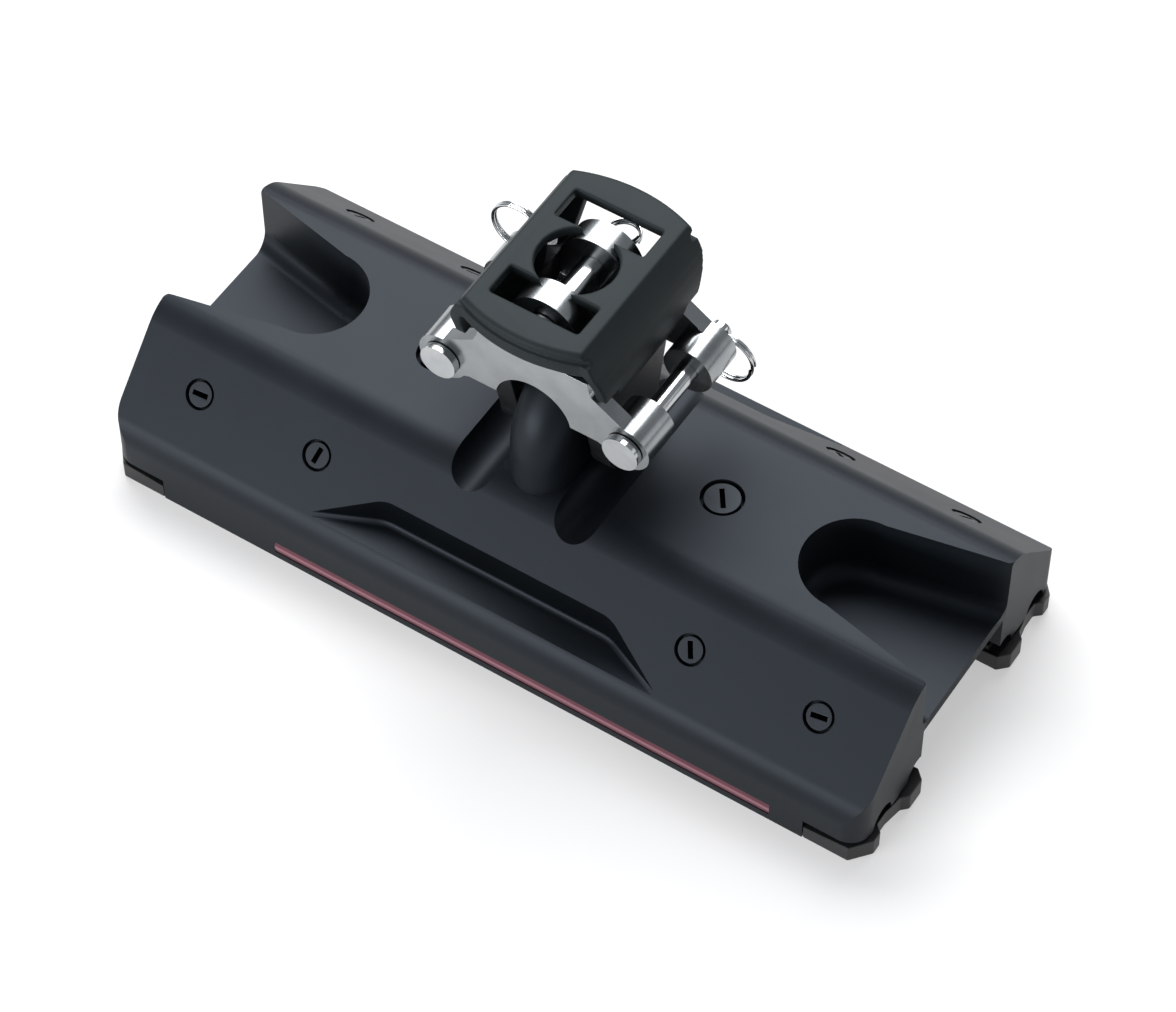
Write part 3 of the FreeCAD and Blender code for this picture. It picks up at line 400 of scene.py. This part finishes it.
def softCopy(nodeName, width, segments, angle):
    item = cleanCopy(nodeName, nodeName + "_soft", cleaning["flatAngle"])
    if nodeName.endswith("screws"):
        sinkSlots(item)
    if nodeName == "car_body":
        shadeSteps(item)
        tightenScoops(item)
        roundTips(item)
    bevel = item.modifiers.new("edges", "BEVEL")
    bevel.width = width * mm
    bevel.segments = segments
    bevel.limit_method = "ANGLE"
    bevel.angle_limit = math.radians(angle)
    bevel.use_clamp_overlap = True
    bevel.miter_outer = "MITER_ARC"
    applyAll(item)
    smoothByAngle(edgeShading["angle"])
    even = item.modifiers.new("even", "WEIGHTED_NORMAL")
    even.mode = "FACE_AREA"
    even.weight = edgeShading["flatWeight"]
    even.keep_sharp = True
    applyAll(item)
    replaceNode(item, nodeName + "_soft", nodeName)


for nodeName, (width, segments, angle) in softEdges.items():
    softCopy(nodeName, width, segments, angle)
print("soft edges made:", len(softEdges))

# Moulded boot: remeshed finely, smoothed so that its edges run round, thinned where it is flat
bootMould = {"voxel": 0.42 * mm, "easing": 0.5, "smoothing": 5, "flatness": 2.0}


def mouldedBoot():
    item = cleanCopy("boot", "boot_moulded")
    skin = item.modifiers.new("skin", "REMESH")
    skin.mode = "VOXEL"
    skin.voxel_size = bootMould["voxel"]
    ease = item.modifiers.new("ease", "SMOOTH")
    ease.factor = bootMould["easing"]
    ease.iterations = bootMould["smoothing"]
    thin = item.modifiers.new("thin", "DECIMATE")
    thin.decimate_type = "DISSOLVE"
    thin.angle_limit = math.radians(bootMould["flatness"])
    applyAll(item)
    bpy.ops.object.shade_smooth()
    replaceNode(item, "boot_moulded", "boot")
    print("boot faces:", len(item.data.polygons))


mouldedBoot()

# Bearing balls: true spheres in a row
ballRow = {"radius": 4.7 * mm, "pitch": 9.7 * mm, "count": 23, "across": 25 * mm,
           "height": 8.5 * mm, "subdivisions": 4}


def rollingRow(nodeName, side):
    start = -ballRow["pitch"] * (ballRow["count"] - 1) / 2
    bpy.ops.object.select_all(action="DESELECT")
    bpy.ops.mesh.primitive_ico_sphere_add(subdivisions=ballRow["subdivisions"],
                                          radius=ballRow["radius"], location=(0, 0, 0))
    balls = bpy.context.object
    balls.data.transform(Matrix.Translation((start, side * ballRow["across"],
                                             ballRow["height"])))
    row = balls.modifiers.new("row", "ARRAY")
    row.count = ballRow["count"]
    row.use_relative_offset = False
    row.use_constant_offset = True
    row.constant_offset_displace = (ballRow["pitch"], 0, 0)
    applyAll(balls)
    bpy.ops.object.shade_smooth()
    replaceNode(balls, nodeName + "_smooth", nodeName)


rollingRow("balls_near", -1)
rollingRow("balls_far", 1)
print("balls set in their rows")

# Split rings: round wire wound twice, in the place of the plain rings
ringWinding = {"turns": 2, "wire": 0.55 * mm, "rise": 1.14 * mm, "inset": 0.6 * mm,
               "steps": 48, "sides": 12, "joined": 0.001 * mm, "smoothAngle": 40}


def woundRing(nodeName):
    low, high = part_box(nodeName)
    centre = (Vector(low) + Vector(high)) / 2
    spans = Vector(high) - Vector(low)
    thinAxis = min(range(3), key=lambda axis: spans[axis])
    radius = max(spans) / 2 - ringWinding["inset"]
    bpy.ops.object.select_all(action="DESELECT")
    bpy.ops.mesh.primitive_circle_add(vertices=ringWinding["sides"],
                                      radius=ringWinding["wire"], fill_type="NGON",
                                      location=(0, 0, 0), rotation=(math.pi / 2, 0, 0))
    item = bpy.context.object
    bpy.ops.object.transform_apply(location=True, rotation=True, scale=True)
    item.data.transform(Matrix.Translation((radius, 0, -ringWinding["rise"])))
    winding = item.modifiers.new("winding", "SCREW")
    winding.angle = 2 * math.pi * ringWinding["turns"]
    winding.screw_offset = ringWinding["rise"] * 2
    winding.steps = ringWinding["steps"] * ringWinding["turns"]
    winding.render_steps = winding.steps
    winding.use_normal_calculate = True
    applyAll(item)
    bpy.ops.object.mode_set(mode="EDIT")
    bpy.ops.mesh.select_all(action="SELECT")
    bpy.ops.mesh.remove_doubles(threshold=ringWinding["joined"])
    bpy.ops.mesh.normals_make_consistent(inside=False)
    bpy.ops.object.mode_set(mode="OBJECT")
    if thinAxis == 1:
        item.data.transform(Matrix.Rotation(math.pi / 2, 4, "X"))
    item.data.transform(Matrix.Translation(centre))
    item.data.update()
    smoothByAngle(ringWinding["smoothAngle"])
    replaceNode(item, nodeName + "_wound", nodeName)


for nodeName in ("ear_ring_left", "ear_ring_right", "fork_ring"):
    woundRing(nodeName)
print("rings wound")

# Floor: white to the camera and in reflections, with the object's shadow, else a plain grey
floorLook = {"size": 8, "below": 0.2 * mm, "glow": 0.465, "shade": (0.4, 0.4, 0.4),
             "plain": (0.35, 0.35, 0.35)}
bpy.ops.object.select_all(action="DESELECT")
bpy.ops.mesh.primitive_plane_add(size=floorLook["size"],
                                 location=(0, 0, cadBox[0][2] - floorLook["below"]))
floor = bpy.context.object
floor.name = "floor"
floorBoard = Board("floor")
seen = floorBoard.add("LightPath", output="Is Camera Ray")
mirrored = floorBoard.add("LightPath", output="Is Glossy Ray")
passed = floorBoard.add("LightPath", output="Is Transmission Ray")
glow = floorBoard.add("Emission", {}, {"Color": (1.0, 1.0, 1.0), "Strength": floorLook["glow"]})
shade = floorBoard.add("BsdfDiffuse", {}, {"Color": floorLook["shade"]})
white = floorBoard.add("AddShader", {}, {0: glow, 1: shade})
plain = floorBoard.add("BsdfDiffuse", {}, {"Color": floorLook["plain"]})
floorBoard.surface(floorBoard.blend(seen + mirrored + passed, plain, white))
floor.data.materials.append(floorBoard.material)

# Studio air: an even, slightly cool light
airLook = {"colour": (0.9, 0.95, 1.0), "strength": 0.33}
world = bpy.data.worlds.new("studio")
world.use_nodes = True
bpy.context.scene.world = world
airBoard = Board("studio", world.node_tree)
airBoard.surface(airBoard.add("Background", {}, {"Color": airLook["colour"],
                                                 "Strength": airLook["strength"]}), "World")

lampAim = (0, 0, 50 * mm)
lampPlan = {   # direction from the car, distance, width, height, power
    "backSoftbox": ((-0.33, 0.52, 0.79), 1.6, 1.7, 1.15, 50),
    "frontSoftbox": ((-0.33, -0.7, 0.63), 1.6, 1.1, 0.85, 4.5),
    "lowStrip": ((-0.33, -0.93, 0.15), 1.5, 1.2, 0.24, 20),
    "sideSoftbox": ((0.9, 0.35, 0.35), 1.7, 0.6, 0.6, 1.5)}
for lampName, (way, distance, wide, high, power) in lampPlan.items():
    lampData = bpy.data.lights.new(lampName, "AREA")
    lampData.shape = "RECTANGLE"
    lampData.size = wide
    lampData.size_y = high
    lampData.energy = power
    lamp = bpy.data.objects.new(lampName, lampData)
    bpy.context.collection.objects.link(lamp)
    away = Vector(way).normalized()
    lamp.location = away * distance + Vector(lampAim)
    lamp.rotation_mode = "QUATERNION"
    lamp.rotation_quaternion = away.to_track_quat("Z", "Y")
print("studio lit")

# Camera fitted to the photograph
cameraPlan = {"azimuth": 33.08, "elevation": 52.9, "roll": -0.31, "distance": 1.2106,
              "target": (0.00623, -0.00473, 0.0221), "lens": 125.8, "sensor": 36,
              "farthest": 20}
turn = math.radians(cameraPlan["azimuth"])
lift = math.radians(cameraPlan["elevation"])
roll = math.radians(cameraPlan["roll"])
back = Vector((math.sin(turn) * math.cos(lift), -math.cos(turn) * math.cos(lift),
               math.sin(lift)))
level = Vector((math.cos(turn), math.sin(turn), 0))
rise = back.cross(level)
rightward = math.cos(roll) * level + math.sin(roll) * rise
upward = math.cos(roll) * rise - math.sin(roll) * level
cameraData = bpy.data.cameras.new("camera")
cameraData.sensor_fit = "HORIZONTAL"
cameraData.sensor_width = cameraPlan["sensor"]
cameraData.lens = cameraPlan["lens"]
cameraData.clip_end = cameraPlan["farthest"]
camera = bpy.data.objects.new("camera", cameraData)
bpy.context.collection.objects.link(camera)
pose = Matrix((rightward, upward, back)).transposed().to_4x4()
pose.translation = Vector(cameraPlan["target"]) + back * cameraPlan["distance"]
camera.matrix_world = pose
bpy.context.scene.camera = camera
bpy.context.scene.view_settings.view_transform = "Standard"
print("camera set")
